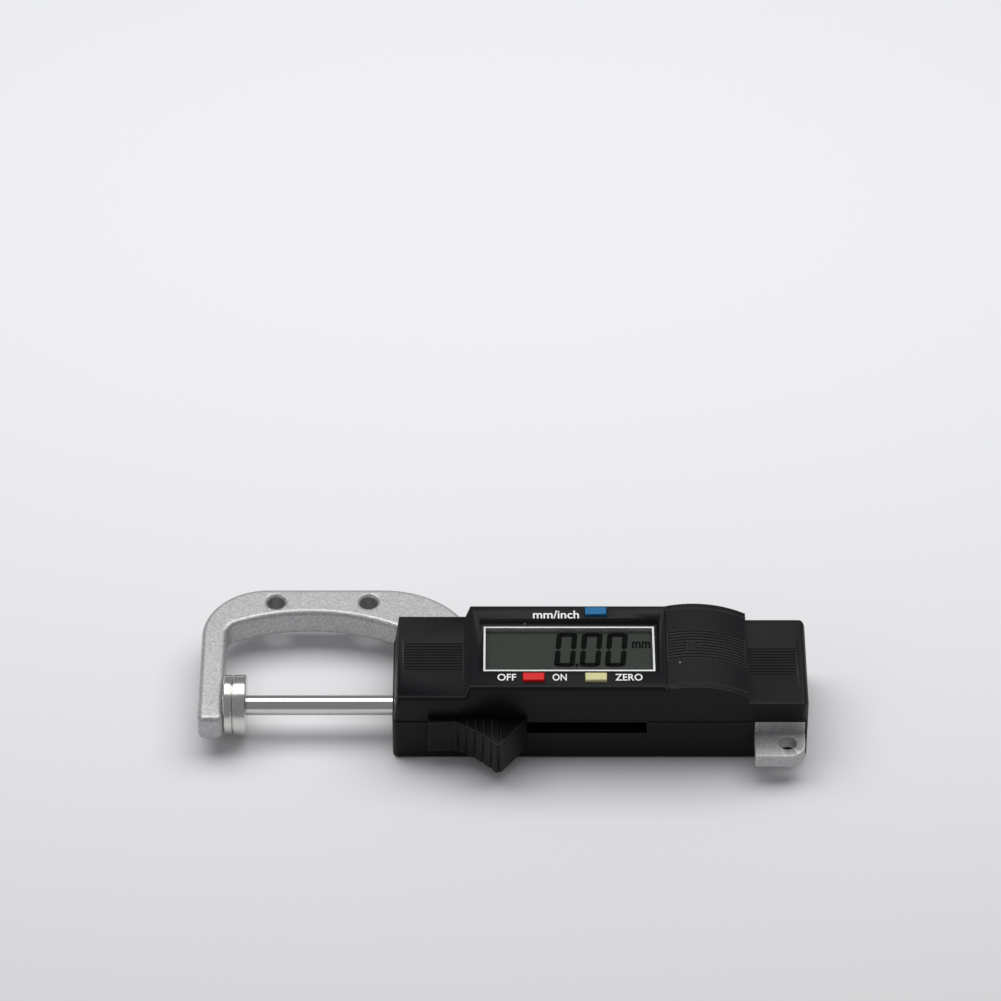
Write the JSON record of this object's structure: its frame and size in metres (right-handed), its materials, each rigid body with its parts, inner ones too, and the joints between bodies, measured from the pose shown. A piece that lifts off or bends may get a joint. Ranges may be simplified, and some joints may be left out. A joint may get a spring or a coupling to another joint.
{
  "type": "outside micrometer",
  "caption": "Pocket digital outside micrometer: a bow with a disc anvil, a sliding spindle with a disc tip, and a case with a display, push buttons, thumb slide and battery cover.",
  "frame": {"origin": "middle of the bounding box's underside: the tool lies on its back cover", "axes": "+X along the spindle from the anvil to the tail, the way the spindle opens; +Y from the spindle to the top of the bow; +Z out of the display"},
  "size_m": [0.1214, 0.0464, 0.0202],
  "materials": {
    "frame_paint": "silver metallic paint on a die casting",
    "steel_face": "lapped hardened steel, bright",
    "ground_rod": "ground and polished",
    "bush_bronze": "sintered bronze",
    "felt": "felt",
    "case_plastic": "black satin moulding",
    "slide_plastic": "black satin moulding",
    "bright_trim": "bright edge",
    "clear_window": "clear, smooth",
    "lcd_glass": "grey-green display panel",
    "rubber_strip": "conductive rubber",
    "board_laminate": "green solder mask",
    "chip_plastic": "moulded package",
    "spring_steel": "spring temper",
    "red_button": "red, satin",
    "yellow_button": "pale yellow, satin",
    "blue_button": "blue, satin",
    "cell_steel": "nickel-plated can",
    "carriage_metal": "machined",
    "screw_steel": "blackened"
  },
  "bodies": {
    "body": {"frame": "frame_paint", "anvil": "steel_face", "front_bush": "bush_bronze", "rear_bush": "bush_bronze", "rod_wiper": "felt", "front_housing": "case_plastic", "back_cover": "case_plastic", "display_bezel": "bright_trim", "display_window": "clear_window", "lcd_panel": "lcd_glass", "contact_strips": "rubber_strip", "circuit_board": "board_laminate", "processor_chip": "chip_plastic", "switch_domes": "spring_steel", "battery": "cell_steel", "battery_contact_plus": "spring_steel", "battery_contact_minus": "spring_steel", "case_screws": "screw_steel", "board_screws": "screw_steel", "return_spring": "spring_steel"},
    "spindle": {"spindle_rod": "ground_rod", "spindle_tip": "steel_face", "carriage": "carriage_metal", "carriage_screw": "screw_steel", "encoder_strip": "board_laminate", "thumb_slide": "slide_plastic", "slide_screws": "screw_steel"},
    "power_key": {"power_button": "red_button"},
    "zero_key": {"zero_button": "yellow_button"},
    "unit_key": {"unit_button": "blue_button"},
    "battery_door": {"battery_cover": "case_plastic"}
  },
  "joints": [
    {"name": "spindle_slide", "type": "slide", "parent": "body", "child": "spindle", "axis": [1, 0, 0], "range_m": [0, 0.025], "stiffness_N_per_m": 60, "springref_m": -0.05, "deforming": ["return_spring"]},
    {"name": "power_press", "type": "slide", "parent": "body", "child": "power_key", "axis": [0, 0, -1], "range_m": [0, 0.00035], "stiffness_N_per_m": 900, "springref_m": -0.0008},
    {"name": "zero_press", "type": "slide", "parent": "body", "child": "zero_key", "axis": [0, 0, -1], "range_m": [0, 0.00035], "stiffness_N_per_m": 900, "springref_m": -0.0008},
    {"name": "unit_press", "type": "slide", "parent": "body", "child": "unit_key", "axis": [0, 0, -1], "range_m": [0, 0.00035], "stiffness_N_per_m": 900, "springref_m": -0.0008},
    {"name": "battery_cover_slide", "type": "slide", "parent": "body", "child": "battery_door", "axis": [1, 0, 0], "range_m": [0, 0.0165]}
  ]
}
